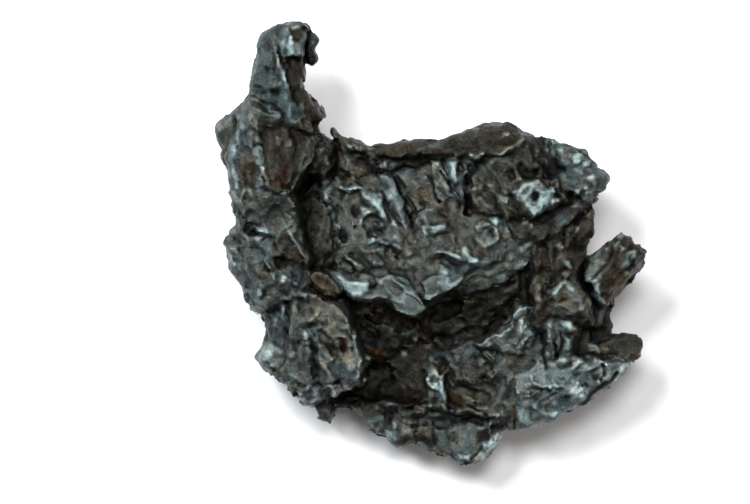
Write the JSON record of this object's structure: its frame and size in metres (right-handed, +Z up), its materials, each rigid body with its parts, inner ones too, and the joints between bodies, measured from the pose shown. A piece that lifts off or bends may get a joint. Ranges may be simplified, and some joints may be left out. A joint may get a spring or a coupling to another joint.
{
  "type": "meteorite",
  "caption": "Torn, twisted fragment of nickel-iron with a tall spire, a ridged dish, a deep hollow and bent plates, lying on its hollowed back.",
  "frame": {"origin": "under the middle of the piece's bounding box, on the surface that it lies on", "axes": "+Z up out of the torn upper face, +Y towards the tip of the spire, +X towards the bent horn"},
  "size_m": [0.1194, 0.123, 0.0404],
  "materials": {
    "iron": "dark satin nickel-iron, silvery where it is rubbed bare, brown-black with thin rust in the hollows"
  },
  "bodies": {
    "root": {"meteorite": "iron"}
  },
  "joints": []
}
